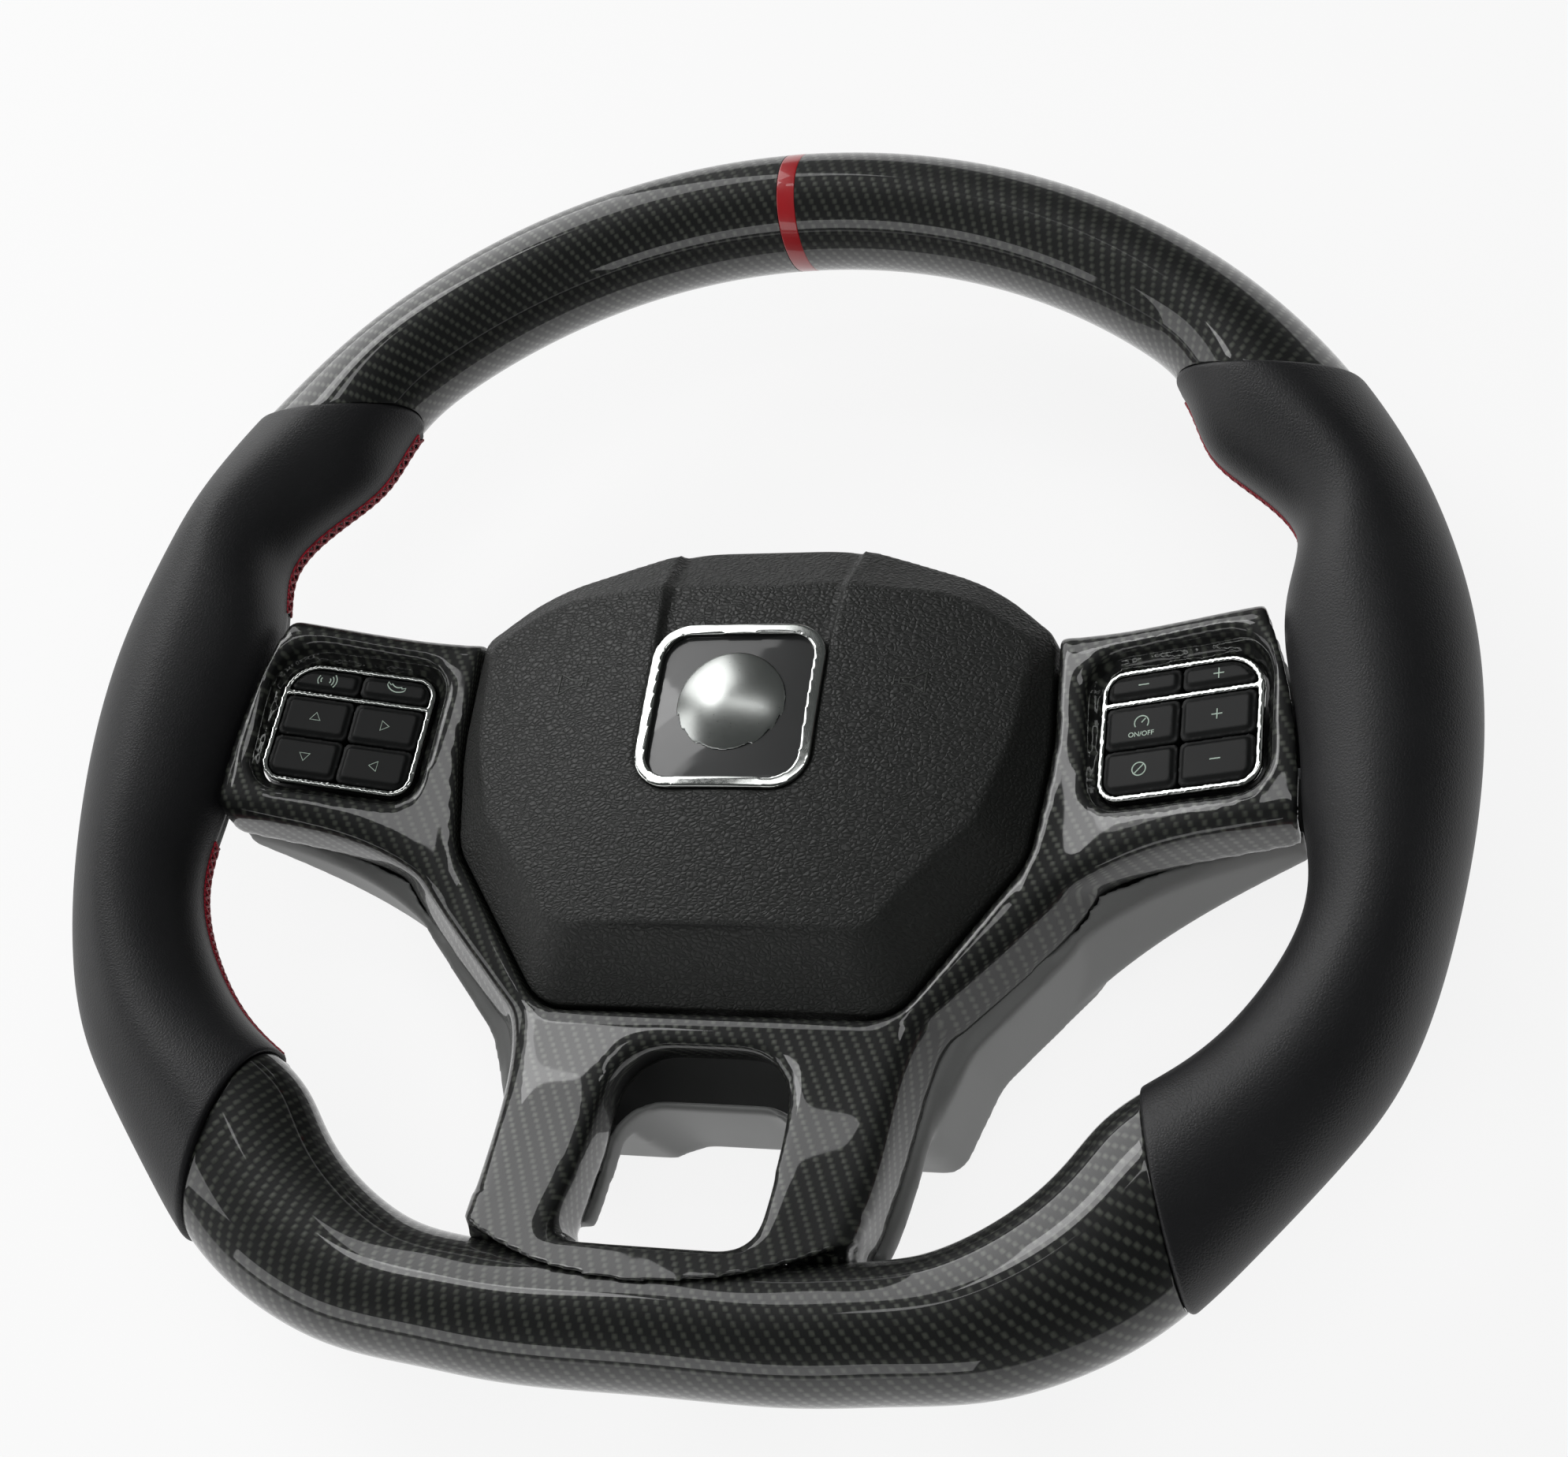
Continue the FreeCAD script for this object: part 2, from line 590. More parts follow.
# ================================================================ rim pieces
rim_core = core_level.cut(armature)
shell = shell_level.cut(core_level)
stripe_slab = box(-STRIPE_W / 2, STRIPE_W / 2, 0, FAR, -FAR, FAR)
stripe = shell_level.cut(stripe_level).common(stripe_slab)
upper_rim_shell = shell.common(above).cut(stripe)
lower_rim_shell = main_body(shell.common(below).cut([leg_room, mirrored(leg_room)]))
leather = leather_level.cut(core_level).cut(above).cut(below).cut(armature)
right_grip = leather.common(right_half)
left_grip = leather.common(left_half)


def on_open_leather(point):
    """Whether a seam point lies on leather that neither the shell nor the wing covers."""
    margin = V(0, SEAM_END_MARGIN, 0)
    under_upper_shell = above.isInside(point + margin, TRIM_TOLERANCE, True)
    under_lower_shell = below.isInside(point - margin, TRIM_TOLERANCE, True)
    behind_wing = SEAM_ROOT_LOW < point.y < SEAM_ROOT_HIGH
    return point.x > 0 and not (under_upper_shell or under_lower_shell or behind_wing)


def seam_stitches():
    """Short threads across the inner seam of the right-hand grip."""
    wires = leather_level.slice(UP, RIM_Z - SEAM_DROP)
    inner = min(wires, key=lambda w: w.BoundBox.DiagonalLength)
    points = inner.discretize(Number=int(inner.Length / STITCH_PITCH))
    tilt = math.radians(SEAM_TILT)
    threads = []
    for before, here, after in zip(points, points[1:], points[2:]):
        if not on_open_leather(here):
            continue
        inward = UP.cross((after - before).normalize())
        if inward.dot(here) > 0:
            inward = inward * -1
        normal = inward * math.cos(tilt) - UP * math.sin(tilt)
        across = UP * math.cos(tilt) + inward * math.sin(tilt)
        middle = here + normal * (STITCH_R + STITCH_CLEAR)
        threads.append(Part.makeCylinder(STITCH_R, STITCH_L, middle - across * (STITCH_L / 2), across))
    return grouped(threads)


right_stitches = seam_stitches()

# ================================================================ airbag module
COVER_CORNERS = (COVER_TOP, COVER_SHOULDER, COVER_CORNER, COVER_SIDE, COVER_HIP, COVER_FOOT)
FACE_CORNERS = (FACE_TOP, FACE_SHOULDER, FACE_CORNER, FACE_SIDE, FACE_HIP, FACE_FOOT)
cover_outline = rounded_wire(two_sided(COVER_CORNERS))
face_outline = rounded_wire(two_sided(FACE_CORNERS))
crown_centre = V(0, CROWN_Y, CROWN_Z - CROWN_R)


def cover_blank(inset):
    """Closed body of the cover's outside, drawn in by an inset on every side."""
    foot = offset_wire(cover_outline, -inset) if inset else cover_outline
    face = offset_wire(face_outline, -inset) if inset else face_outline
    edge_z = COVER_EDGE_Z - inset
    face_z = COVER_FACE_Z - inset
    skirt = prism(foot, COVER_SKIRT_Z, edge_z)
    bevel = Part.makeLoft([lifted(foot, edge_z), lifted(face, face_z)], True, True)
    tall = prism(face, face_z, CROWN_Z)
    crown = Part.makeSphere(CROWN_R - inset, crown_centre)
    return skirt.fuse([bevel, tall]).removeSplitter().common(crown)


def sunk(shape, depth):
    return shape.translated(V(0, 0, -depth))


cover_outside = cover_blank(0.0)
emblem_outline = rounded_wire(rectangle(EMBLEM_W, EMBLEM_H, EMBLEM_CORNER_R, 0, EMBLEM_Y))
emblem_window = rounded_wire(rectangle(EMBLEM_W - 2 * EMBLEM_RING_W, EMBLEM_H - 2 * EMBLEM_RING_W,
                                       EMBLEM_CORNER_R - EMBLEM_RING_W, 0, EMBLEM_Y))
pocket_outline = offset_wire(emblem_outline, SCREW_GAP)
channel_half = ((CHANNEL_TOP_X, FAR), (CHANNEL_TOP_X, COVER_TOP[1]), (CHANNEL_LOW_X, CHANNEL_LOW_Y))
channel_corners = list(channel_half) + [(-x, y) for x, y in reversed(channel_half)]
channel = polygon_prism(channel_corners, COVER_EDGE_Z - COVER_T, FAR)
airbag_cover = cover_outside.cut(cover_blank(COVER_T))
airbag_cover = airbag_cover.cut(channel.cut(sunk(cover_outside, CHANNEL_DEPTH)))
emblem_floor = sunk(cover_outside, EMBLEM_POCKET)
airbag_cover = airbag_cover.cut(prism(pocket_outline, COVER_FACE_Z - COVER_T, FAR).cut(emblem_floor))
plate_top = sunk(cover_outside, EMBLEM_PLATE_DROP)
emblem_column = prism(emblem_outline, COVER_EDGE_Z, FAR)
window_column = prism(emblem_window, COVER_EDGE_Z, FAR)
emblem_plate = emblem_column.common(plate_top).cut(emblem_floor)
ring_top = sunk(cover_outside, -EMBLEM_RING_STAND)
emblem_frame = emblem_column.cut(window_column).common(ring_top).cut(plate_top)
medal_ball_r = (MEDAL_R ** 2 + MEDAL_H ** 2) / (2 * MEDAL_H)
medal_base_z = CROWN_Z - EMBLEM_PLATE_DROP - EMBLEM_Y ** 2 / (2 * CROWN_R)
medal_dome = Part.makeSphere(medal_ball_r, V(0, EMBLEM_Y, medal_base_z + MEDAL_H - medal_ball_r))
emblem_medal = medal_dome.common(cylinder(MEDAL_R, COVER_EDGE_Z, FAR, 0, EMBLEM_Y)).cut(plate_top)

can_width = 2 * CAN_HALF_X
can_length = CAN_HIGH_Y - CAN_LOW_Y
can_y = (CAN_HIGH_Y + CAN_LOW_Y) / 2
can_outline = rounded_wire(rectangle(can_width, can_length, CAN_CORNER_R, 0, can_y))
can_inside = offset_wire(can_outline, -CAN_T)
airbag_housing = prism(can_outline, CAN_FLOOR_Z, CAN_TOP_Z)
ear_high_z = CAN_FLOOR_Z + CAN_T
for ear_x, ear_y in ear_places:
    lobe = cylinder(EAR_R, CAN_FLOOR_Z, ear_high_z, ear_x, ear_y)
    reach_low_y = ear_y - EAR_R if ear_y > 0 else ear_y
    reach_high_y = ear_y + EAR_R if ear_y > 0 else CAN_LOW_Y
    reach = box(min(ear_x, -EAR_R), max(ear_x, EAR_R), reach_low_y, reach_high_y, CAN_FLOOR_Z, ear_high_z)
    airbag_housing = airbag_housing.fuse([lobe, reach])
airbag_housing = airbag_housing.cut(prism(can_inside, ear_high_z, FAR))
airbag_housing = airbag_housing.cut(cylinder(INFLATOR_R + SEAT_GAP, 0, FAR, 0, INFLATOR_Y))
for ear_x, ear_y in ear_places:
    airbag_housing = airbag_housing.cut(cylinder(PIN_R + GUIDE_GAP, 0, FAR, ear_x, ear_y))

STUD_ANGLES = [math.radians(45 + 90 * k) for k in range(4)]
studs = [(STUD_CIRCLE_R * math.cos(a), INFLATOR_Y + STUD_CIRCLE_R * math.sin(a)) for a in STUD_ANGLES]
flange_low_z = CAN_FLOOR_Z - INFLATOR_FLANGE_T
nut_low_z = flange_low_z - NUT_H
inflator = cylinder(INFLATOR_R, INFLATOR_LOW_Z, INFLATOR_TOP_Z, 0, INFLATOR_Y)
inflator = inflator.fuse(cylinder(INFLATOR_FLANGE_R, flange_low_z, CAN_FLOOR_Z, 0, INFLATOR_Y))
retainer_ring = cylinder(RETAINER_OUT_R, ear_high_z, ear_high_z + RETAINER_T, 0, INFLATOR_Y)
retainer_ring = retainer_ring.cut(cylinder(INFLATOR_R + SEAT_GAP, 0, FAR, 0, INFLATOR_Y))
nuts = []
for stud_x, stud_y in studs:
    hole = cylinder(STUD_R + SCREW_GAP, 0, ear_high_z, stud_x, stud_y)
    airbag_housing = airbag_housing.cut(hole)
    inflator = inflator.cut(cylinder(STUD_R + SCREW_GAP, 0, CAN_FLOOR_Z, stud_x, stud_y))
    retainer_ring = retainer_ring.fuse(cylinder(STUD_R, nut_low_z - 1.0, ear_high_z, stud_x, stud_y))
    nut = hexagon(NUT_R, nut_low_z, flange_low_z, stud_x, stud_y)
    nuts.append(nut.cut(cylinder(STUD_R + SCREW_GAP, 0, FAR, stud_x, stud_y)))
inflator_nuts = grouped(nuts)

cushion_outline = offset_wire(can_inside, -CUSHION_INSET)
folded_cushion = prism(cushion_outline, ear_high_z, CUSHION_TOP_Z)
cushion_rim = [e for e in folded_cushion.Edges if e.BoundBox.ZMin > CUSHION_TOP_Z - SMALL_R]
folded_cushion = folded_cushion.makeFillet(CUSHION_ROUND, cushion_rim)
retainer_space = cylinder(RETAINER_OUT_R + SEAT_GAP, 0, ear_high_z + RETAINER_T + SEAT_GAP, 0, INFLATOR_Y)
inflator_space = cylinder(INFLATOR_R + SEAT_GAP, 0, INFLATOR_TOP_Z + SEAT_GAP, 0, INFLATOR_Y)
folded_cushion = folded_cushion.cut(retainer_space).cut(inflator_space)
under_cover = cover_blank(COVER_T + SEAT_GAP).fuse(prism(cover_outline, 0, COVER_SKIRT_Z + 1))
folded_cushion = folded_cushion.common(under_cover)

pin_head_z = ear_high_z + SCREW_GAP
spring_low_z = PLATE_TOP_Z + SPRING_WIRE_R + SCREW_GAP
spring_h = CAN_FLOOR_Z - SPRING_WIRE_R - SCREW_GAP - spring_low_z


def horn_spring(x, y):
    helix = Part.makeHelix(spring_h / SPRING_TURNS, spring_h, SPRING_R)
    wire_ring = Part.Wire([Part.makeCircle(SPRING_WIRE_R, V(SPRING_R, 0, 0), V(0, 1, 0))])
    coil = Part.Wire(helix).makePipeShell([wire_ring], True, True)
    return coil.translated(V(x, y, spring_low_z))


pins = []
springs = []
for ear_x, ear_y in ear_places:
    pin = cylinder(PIN_R, PLATE_LOW_Z, pin_head_z, ear_x, ear_y)
    pins.append(pin.fuse(cylinder(PIN_HEAD_R, pin_head_z, pin_head_z + PIN_HEAD_H, ear_x, ear_y)))
    springs.append(horn_spring(ear_x, ear_y))
guide_pins = grouped(pins)
horn_springs = grouped(springs)

contact_low_z = CAN_FLOOR_Z - CONTACT_T
post_top_z = contact_low_z - CONTACT_GAP
contact = cylinder(CONTACT_R, contact_low_z, CAN_FLOOR_Z, CONTACT_X, CONTACT_Y)
contact_foot = cylinder(CONTACT_FOOT_R, PLATE_TOP_Z, PLATE_TOP_Z + CONTACT_FOOT_T, CONTACT_X, CONTACT_Y)
contact_post = contact_foot.fuse(cylinder(CONTACT_R, PLATE_TOP_Z, post_top_z, CONTACT_X, CONTACT_Y))
horn_contacts_moving = grouped([contact, mirrored(contact)])
horn_contacts_fixed = grouped([contact_post, mirrored(contact_post)])

# ================================================================ bezel
def overrun(inset):
    """A hollow, which is drawn with an inset, runs past the open side of its outer body."""
    return HOLLOW_OVERRUN if inset else 0.0


def wing_wire(section, inset):
    """Cross-section of a wing in the plane of one x."""
    x, low, high, seam, top = section
    seam_z = RIM_Z + seam - overrun(inset)
    corners = [(high + WING_FLARE_HIGH - inset, seam_z, SMALL_R),
               (high - inset, RIM_Z + top - inset, WING_ROUND - inset / 2),
               (low + inset, RIM_Z + top - inset, WING_ROUND - inset / 2),
               (low - WING_FLARE_LOW + inset, seam_z, SMALL_R)]
    return rounded_wire(corners, lambda p: V(x, p.x, p.y))


def spoke_wire(section, inset):
    """Cross-section of the lower spoke in the plane of one y."""
    y, top_x, seam_x, seam, top = section
    seam_z = RIM_Z + seam - overrun(inset)
    corners = [(seam_x - inset, seam_z, SMALL_R),
               (top_x - inset, RIM_Z + top - inset, SPOKE_ROUND - inset / 2),
               (-top_x + inset, RIM_Z + top - inset, SPOKE_ROUND - inset / 2),
               (-seam_x + inset, seam_z, SMALL_R)]
    return rounded_wire(corners, lambda p: V(p.x, y, p.y))


def wing_blank(inset):
    sections = (WING_ROOT, WING_INNER, WING_MIDDLE, WING_OUTER)
    return Part.makeLoft([wing_wire(s, inset) for s in sections], True, False)


def spoke_blank(inset):
    sections = (SPOKE_HEAD, SPOKE_WAIST, SPOKE_MIDDLE, SPOKE_LOW, SPOKE_FOOT)
    return Part.makeLoft([spoke_wire(s, inset) for s in sections], True, False)


def band_blank(inset):
    """Band round the lower half of the cover, joining the wings and the lower spoke."""
    outline = rounded_wire(two_sided((BAND_TOP, BAND_HIP, BAND_SIDE, BAND_WAIST)))
    shoulder = BAND_ROUND * ROUND_SHOULDER
    steps = [lifted(offset_wire(outline, BAND_FLARE - inset), BAND_SEAM_Z - overrun(inset)),
             lifted(offset_wire(outline, -inset - TINY), BAND_TOP_Z - BAND_ROUND),
             lifted(offset_wire(outline, -inset - shoulder), BAND_TOP_Z - inset - shoulder),
             lifted(offset_wire(outline, -inset - BAND_ROUND), BAND_TOP_Z - inset)]
    return Part.makeLoft(steps, True, True)


WINDOW_HIGH = (WINDOW_TOP_X, WINDOW_TOP_Y, WINDOW_TOP_R)
WINDOW_LOW = (WINDOW_LOW_X, WINDOW_LOW_Y, WINDOW_LOW_R)
window_wire = rounded_wire(two_sided((WINDOW_HIGH, WINDOW_LOW)))
foot_right = in_plan(FOOT_CORNER)
foot_left = V(-foot_right.x, foot_right.y, 0)
foot_arc = Part.Arc(foot_right, V(0, FOOT_END_Y, 0), foot_left).toShape()
foot_path = (foot_left, V(-FAR, foot_left.y, 0), V(-FAR, FAR, 0), V(FAR, FAR, 0), V(FAR, foot_right.y, 0), foot_right)
foot_sides = [Part.LineSegment(a, b).toShape() for a, b in zip(foot_path, foot_path[1:])]
foot_region = prism(Part.Wire([foot_arc] + foot_sides), -FAR, FAR)

pack_u = V(*PACK_ACROSS).normalize()
pack_w = pack_u.cross(V(*PACK_UPWARDS)).normalize()
pack_v = pack_w.cross(pack_u)
pack_origin = V(*PACK_CENTRE)
pack_place = FreeCAD.Matrix(pack_u.x, pack_v.x, pack_w.x, pack_origin.x,
                            pack_u.y, pack_v.y, pack_w.y, pack_origin.y,
                            pack_u.z, pack_v.z, pack_w.z, pack_origin.z)


def placed(shape):
    """Moves a shape from the switch pack's own frame into the right-hand pack's place."""
    return shape.transformed(pack_place)


def frame_wire(margin):
    """Outline of the switch pack's frame, moved outwards by a margin."""
    w = FRAME_W / 2 + margin
    h = FRAME_H / 2 + margin
    r = FRAME_R + margin
    return rounded_wire([(w, h, FRAME_OUTER_R + margin), (w, -h, r), (-w, -h, r), (-w, h, r)])


recess_low = frame_wire(RECESS_MARGIN)
recess_high = frame_wire(RECESS_MARGIN + RECESS_TAPER)
recess = Part.makeLoft([lifted(recess_low, -RECESS_SINK), lifted(recess_high, RECESS_DEPTH)], True, True)
pack_opening = prism(frame_wire(SEAT_GAP), -FAR, FAR)
recess_tray = prism(frame_wire(RECESS_MARGIN + BEZEL_T), -RECESS_SINK - BEZEL_T, RECESS_DEPTH)



def bezel_blank(inset):
    wing = wing_blank(inset)
    return wing.fuse([mirrored(wing), band_blank(inset), spoke_blank(inset)])


bezel_outside = bezel_blank(0.0)
bezel_hollow = bezel_blank(BEZEL_T)
cover_opening = offset_wire(cover_outline, COVER_GAP)
cover_wall = prism(offset_wire(cover_opening, BEZEL_T), 0, FAR)
window_wall = prism(offset_wire(window_wire, BEZEL_T), 0, FAR)
tray_right = placed(recess_tray)
bezel_hollow = bezel_hollow.cut([cover_wall, window_wall, tray_right, mirrored(tray_right)])
wing_trim = box(WING_TRIM_X, FAR, -WING_TRIM_Y, WING_TRIM_Y, -FAR, FAR).cut(cylinder(WING_END_R, -FAR, FAR))
foot_trim = box(-WING_TRIM_Y, WING_TRIM_Y, -FAR, FOOT_TRIM_Y, -FAR, FAR).cut(foot_region)
spoke_bezel = bezel_outside.cut(prism(cover_opening, -FAR, FAR)).cut(prism(window_wire, -FAR, FAR))
for opening in (placed(recess), placed(pack_opening)):
    spoke_bezel = spoke_bezel.cut(opening).cut(mirrored(opening))
spoke_bezel = spoke_bezel.cut(bezel_hollow)
for tool in (wing_trim, mirrored(wing_trim), foot_trim, rim_ring(RIM_TO_BEZEL)):
    spoke_bezel = spoke_bezel.cut([tool], TRIM_TOLERANCE)


# ================================================================ switch packs
def rounded_block(width, height, radius, low, high, u=0.0, v=0.0):
    return prism(rounded_wire(rectangle(width, height, radius, u, v)), low, high)


frame_inner_w = FRAME_W - 2 * FRAME_LINE
frame_inner_h = FRAME_H - 2 * FRAME_LINE
frame_hole = prism(frame_wire(-FRAME_LINE), -FAR, FAR)
bar_low_v = CROSSBAR_V - FRAME_LINE / 2
bar_high_v = CROSSBAR_V + FRAME_LINE / 2
crossbar = box(-FRAME_W / 2 + SMALL_R, FRAME_W / 2 - SMALL_R, bar_low_v, bar_high_v, -FRAME_SINK, FRAME_STAND)
switch_frame = prism(frame_wire(0.0), -FRAME_SINK, FRAME_STAND)
switch_frame = switch_frame.cut(frame_hole).fuse(crossbar)

key_w = (frame_inner_w - 3 * KEY_GAP) / 2
key_u = (key_w + KEY_GAP) / 2
upper_low_v = bar_high_v + KEY_GAP
upper_high_v = frame_inner_h / 2 - KEY_GAP
lower_high_v = bar_low_v - KEY_GAP
lower_low_v = -frame_inner_h / 2 + KEY_GAP
lower_h = (lower_high_v - lower_low_v - KEY_GAP) / 2
rows = (("top", (upper_low_v + upper_high_v) / 2, upper_high_v - upper_low_v),
        ("middle", lower_high_v - lower_h / 2, lower_h),
        ("bottom", lower_low_v + lower_h / 2, lower_h))
columns = (("inner", -key_u), ("outer", key_u))
key_field = prism(frame_wire(-FRAME_LINE - KEY_GAP), -FAR, FAR)
pad_field = prism(frame_wire(-FRAME_LINE - KEY_GAP - PAD_INSET / 2), -FAR, FAR)


def key_shape(u, v, height):
    """Cap with a raised pad and a stem through the guide plate."""
    cap = rounded_block(key_w, height, CAP_R, -CAP_BOTTOM, CAP_TOP, u, v)
    pad_foot = rounded_wire(rectangle(key_w - PAD_INSET, height - PAD_INSET, CAP_R, u, v))
    pad_face = rounded_wire(rectangle(key_w - 2 * PAD_INSET, height - 2 * PAD_INSET, CAP_R / 2, u, v))
    pad = Part.makeLoft([lifted(pad_foot, CAP_TOP), lifted(pad_face, CAP_TOP + PAD_STAND)], True, True)
    pad = pad.common(pad_field)
    return cap.fuse([pad, stem_block(u, v, 0.0, -STEM_END, -CAP_BOTTOM)]).common(key_field)


def stem_block(u, v, grow, low, high):
    half_w = STEM_W / 2 + grow
    half_h = STEM_H / 2 + grow
    return box(u - half_w, u + half_w, v - half_h, v + half_h, low, high)


def cavity(inset, low, high):
    return prism(frame_wire(-inset), low, high)


guide_low = -GUIDE_TOP - GUIDE_T
pack_floor = -PACK_DEPTH + PACK_WALL
switch_housing = cavity(0.0, -PACK_DEPTH, -FRAME_SINK).cut(cavity(PACK_WALL, pack_floor, 0))
switch_housing = switch_housing.fuse(cavity(PACK_WALL / 2, guide_low, -GUIDE_TOP))
keys = {}
for row, v, height in rows:
    for column, u in columns:
        keys[row + "_" + column] = key_shape(u, v, height)
        switch_housing = switch_housing.cut(stem_block(u, v, GUIDE_GAP, guide_low, -GUIDE_TOP))
switch_board = cavity(PACK_WALL + SEAT_GAP, pack_floor, -BOARD_TOP)

lug_edge = FRAME_H / 2
lug_v = lug_edge + LUG_REACH / 2
lug_low = -LUG_SEAT - LUG_T
lug = box(-LUG_W / 2, LUG_W / 2, lug_edge - SMALL_R, lug_edge + LUG_REACH, lug_low, -LUG_SEAT)
lug = lug.cut(cylinder(SCREW_R + SCREW_GAP, lug_low, -LUG_SEAT, 0, lug_v))
screw = cylinder(SCREW_R, lug_low, -LUG_SEAT + SCREW_BITE, 0, lug_v)
screw = screw.fuse(cylinder(SCREW_HEAD_R, lug_low - SCREW_HEAD_H, lug_low, 0, lug_v))
bite_hole = cylinder(SCREW_R + SCREW_GAP, -LUG_SEAT - SMALL_R, -LUG_SEAT + SCREW_BITE + GUIDE_GAP, 0, lug_v)


def at_both_lugs(shape):
    return [shape, shape.mirror(ORIGIN, V(0, 1, 0))]


switch_housing = switch_housing.fuse(at_both_lugs(lug))
switch_screws = grouped(at_both_lugs(screw))
bezel_screw_holes = grouped(at_both_lugs(bite_hole))

# ================================================================ rear shroud
def tray_wire(section, inset):
    x, low, edge, rear_edge, high, rear, ledge, front = section
    roof = RIM_Z + front + overrun(inset)
    corners = [(high - inset, roof, SMALL_R), (low + inset, roof, SMALL_R),
               (edge + inset, RIM_Z + ledge - inset, TRAY_LEDGE_R),
               (rear_edge + inset, RIM_Z + rear + inset, TRAY_ROUND - inset),
               (high - TRAY_LEAN - inset, RIM_Z + rear + inset, TRAY_ROUND - inset)]
    return rounded_wire(corners, lambda p: V(x, p.x, p.y))


def tray_blank(inset):
    sections = (TRAY_ROOT, TRAY_INNER, TRAY_MIDDLE, TRAY_OUTER)
    return Part.makeLoft([tray_wire(s, inset) for s in sections], True, False)


def bowl_blank(inset):
    wide = rounded_wire(two_sided((BOWL_TOP, BOWL_SHOULDER, BOWL_SIDE, BOWL_HIP, BOWL_ELBOW, BOWL_FOOT)))
    rear = SHROUD_REAR_Z + inset
    steps = [lifted(offset_wire(wide, -inset - TINY), BOWL_ROOF_Z),
             lifted(offset_wire(wide, -inset - BOWL_TAPER + BOWL_ROUND), rear + BOWL_ROUND),
             lifted(offset_wire(wide, -inset - BOWL_TAPER), rear)]
    return Part.makeLoft(steps, True, True)


def leg_cover_wire(section, inset):
    y, half, rear, front = section
    w = half - inset
    low = RIM_Z + rear + inset
    high = RIM_Z + front + overrun(inset)
    round_r = LEG_COVER_R - inset / 2
    corners = [(w, high, SMALL_R), (w, low, round_r), (-w, low, round_r), (-w, high, SMALL_R)]
    return rounded_wire(corners, lambda p: V(p.x, y + end_inset(section, inset), p.y))


def end_inset(section, inset):
    return inset if section is LEG_COVER_LOW else 0.0


def leg_cover_blank(inset):
    sections = (LEG_COVER_HEAD, LEG_COVER_WAIST, LEG_COVER_MIDDLE, LEG_COVER_LOW)
    return Part.makeLoft([leg_cover_wire(s, inset) for s in sections], True, False)


def height_on(start, end, axis, value):
    """Height of a straight bar's middle where its x (axis 0) or y (axis 1) has a value."""
    share = (value - start[axis]) / (end[axis] - start[axis])
    return start[2] + share * (end[2] - start[2])


side_boss_top = height_on(ARM_ROOT, ARM_KNEE, 0, BOSS_X) - ARM_T / 2
low_boss_top = height_on(LEG_ROOT, LEG_KNEE, 1, BOSS_LOW_Y) - LEG_T / 2
bosses = ((BOSS_X, BOSS_Y, side_boss_top), (-BOSS_X, BOSS_Y, side_boss_top),
          (BOSS_LOW_X, BOSS_LOW_Y, low_boss_top), (-BOSS_LOW_X, BOSS_LOW_Y, low_boss_top))

tray = tray_blank(0.0).cut([wing_trim], TRIM_TOLERANCE)
shroud_outside = bowl_blank(0.0).fuse([tray, mirrored(tray), leg_cover_blank(0.0)])
inner_tray = tray_blank(SHROUD_T)
shroud_hollow = bowl_blank(SHROUD_T).fuse([inner_tray, mirrored(inner_tray), leg_cover_blank(SHROUD_T)])
arch_foot_x = ARCH_HALF_X + ARCH_FLARE
arch_wire = rounded_wire(two_sided(((ARCH_HALF_X, ARCH_TOP_Y, ARCH_R), (arch_foot_x, -FAR, SMALL_R))))
shroud_hollow = shroud_hollow.cut(prism(offset_wire(arch_wire, SHROUD_T), 0, FAR))
for boss_x, boss_y, top in bosses:
    shroud_hollow = shroud_hollow.cut(cylinder(BOSS_R, 0, top - BOSS_GAP, boss_x, boss_y))
rear_shroud = shroud_outside.cut(prism(arch_wire, -FAR, FAR)).cut(shroud_hollow)
rear_shroud = rear_shroud.cut(cylinder(SHROUD_HOLE_R, -FAR, SHROUD_REAR_Z + SHROUD_T + BOSS_GAP))
screw_head_z = SHROUD_REAR_Z + SHROUD_SCREW_HEAD_H
shroud_screw_list = []
for boss_x, boss_y, top in bosses:
    screw_top = top + SHROUD_SCREW_GRIP
    rear_shroud = rear_shroud.cut(cylinder(SHROUD_SCREW_R + 2 * SCREW_GAP, -FAR, FAR, boss_x, boss_y))
    head_space = cylinder(SHROUD_SCREW_HEAD_R + SEAT_GAP, -FAR, screw_head_z, boss_x, boss_y)
    rear_shroud = rear_shroud.cut(head_space)
    head = cylinder(SHROUD_SCREW_HEAD_R, SHROUD_REAR_Z, screw_head_z, boss_x, boss_y)
    shroud_screw_list.append(head.fuse(cylinder(SHROUD_SCREW_R, SHROUD_REAR_Z, screw_top, boss_x, boss_y)))
    armature = armature.cut(cylinder(SHROUD_SCREW_R + SCREW_GAP, 0, screw_top + SCREW_GAP, boss_x, boss_y))
shroud_screws = grouped(shroud_screw_list)
cover_floor_z = COVER_SKIRT_Z - HORN_TRAVEL - SEAT_GAP
rear_shroud = rear_shroud.cut(prism(cover_opening, cover_floor_z, FAR))
rear_shroud = rear_shroud.cut(spoke_room)
rear_shroud = rear_shroud.cut([rim_ring(RIM_TO_BEZEL)], TRIM_TOLERANCE).cut([bezel_outside], TRIM_TOLERANCE)
rear_shroud = main_body(rear_shroud)

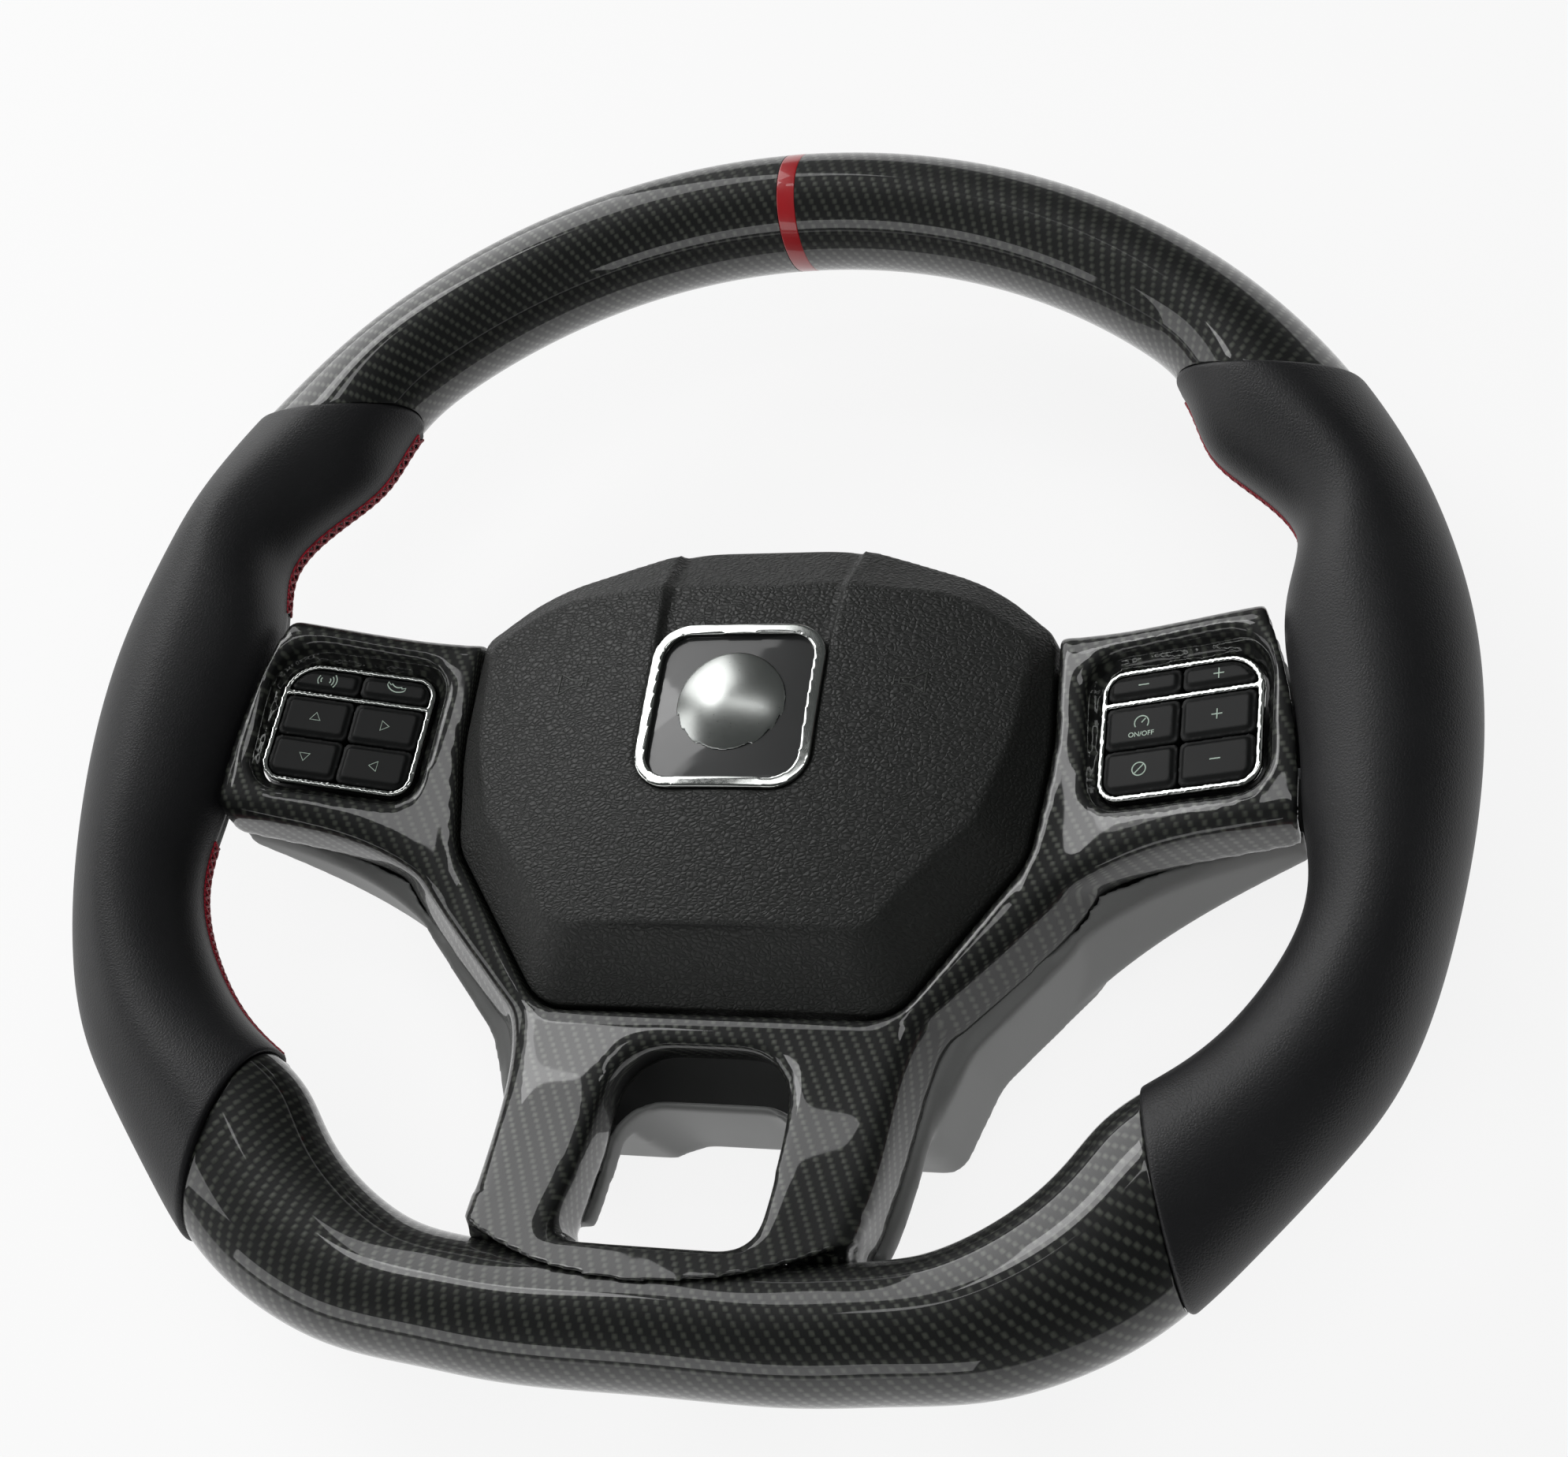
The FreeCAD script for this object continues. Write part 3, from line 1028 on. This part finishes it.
# The shroud parts flush where the spokes and the two legs leave the bowl.
spoke_zone = box(SPOKE_JOINT_X, FAR, -FAR, FAR, -FAR, FAR)
leg_zone = box(0, FAR, -FAR, LEG_JOINT_Y, -FAR, FAR)
right_spoke_cover = main_body(rear_shroud.common(spoke_zone))
right_leg_cover = main_body(rear_shroud.common(leg_zone))
rear_shroud = rear_shroud.cut(spoke_zone.fuse(mirrored(spoke_zone)))
rear_shroud = main_body(rear_shroud.cut(leg_zone.fuse(mirrored(leg_zone))))

# The bezel takes the packs' screws.
pack_screw_holes = placed(bezel_screw_holes)
spoke_bezel = main_body(spoke_bezel.cut(pack_screw_holes).cut(mirrored(pack_screw_holes)))

# ================================================================ sockets
socket_high_u = -FRAME_W / 2 - SOCKET_GAP
socket_low_u = socket_high_u - PACK_SOCKET_T
half_socket = PACK_SOCKET_W / 2
pack_socket = box(socket_low_u, socket_high_u, -half_socket, half_socket, PACK_SOCKET_LOW, PACK_SOCKET_HIGH)
pack_socket = pack_socket.makeFillet(SOCKET_ROUND, pack_socket.Edges)
pack_mouth = box(socket_low_u + SOCKET_WALL, socket_high_u - SOCKET_WALL, -half_socket + SOCKET_WALL,
                 half_socket - SOCKET_WALL, PACK_SOCKET_LOW - SOCKET_WALL, PACK_SOCKET_LOW + SOCKET_DEPTH)
pack_socket = pack_socket.cut(pack_mouth)
half_w = CONNECTOR_W / 2
half_d = CONNECTOR_D / 2
main_connector = box(-half_w, half_w, CONNECTOR_Y - half_d, CONNECTOR_Y + half_d, PLATE_TOP_Z, CONNECTOR_TOP_Z)
main_connector = main_connector.makeFillet(CONNECTOR_ROUND, main_connector.Edges)
connector_mouth = box(-half_w + 2 * SOCKET_WALL, half_w - 2 * SOCKET_WALL, CONNECTOR_Y - half_d + 2 * SOCKET_WALL,
                      CONNECTOR_Y + half_d - 2 * SOCKET_WALL, CONNECTOR_TOP_Z - SOCKET_DEPTH, FAR)
main_connector = main_connector.cut(connector_mouth)
squib_socket = cylinder(SQUIB_R, SQUIB_LOW_Z, INFLATOR_LOW_Z, SQUIB_X, SQUIB_Y)
squib_socket = squib_socket.cut(cylinder(SQUIB_R - 2 * SOCKET_WALL, 0, SQUIB_LOW_Z + SOCKET_DEPTH / 2, SQUIB_X, SQUIB_Y))

# ================================================================ output
nodes = {
    "hub_insert": hub_insert,
    "hub_washer": hub_washer,
    "hub_bolt": hub_bolt,
    "armature": armature,
    "rim_core": rim_core,
    "upper_rim_shell": upper_rim_shell,
    "lower_rim_shell": lower_rim_shell,
    "centre_stripe": stripe,
    "right_grip_leather": right_grip,
    "left_grip_leather": left_grip,
    "right_seam_stitches": right_stitches,
    "left_seam_stitches": mirrored(right_stitches),
    "airbag_cover": airbag_cover,
    "emblem_plate": emblem_plate,
    "emblem_frame": emblem_frame,
    "emblem_medal": emblem_medal,
    "airbag_housing": airbag_housing,
    "inflator": inflator,
    "retainer_ring": retainer_ring,
    "inflator_nuts": inflator_nuts,
    "folded_cushion": folded_cushion,
    "guide_pins": guide_pins,
    "horn_springs": horn_springs,
    "horn_contacts_moving": horn_contacts_moving,
    "horn_contacts_fixed": horn_contacts_fixed,
    "spoke_bezel": spoke_bezel,
    "rear_shroud": rear_shroud,
    "right_spoke_cover": right_spoke_cover,
    "left_spoke_cover": mirrored(right_spoke_cover),
    "right_leg_cover": right_leg_cover,
    "left_leg_cover": mirrored(right_leg_cover),
    "shroud_screws": shroud_screws,
    "main_connector": main_connector,
    "squib_socket": squib_socket,
}
pack = {
    "switch_frame": switch_frame,
    "switch_housing": switch_housing,
    "switch_board": switch_board,
    "switch_screws": switch_screws,
    "pack_socket": pack_socket,
}
pack.update({"key_" + name: shape for name, shape in keys.items()})
for name, shape in pack.items():
    nodes["right_" + name] = placed(shape)
    nodes["left_" + name] = mirrored(placed(shape))
os.makedirs("parts", exist_ok=True)
for name, shape in nodes.items():
    shape.exportStep("parts/" + name + ".step")
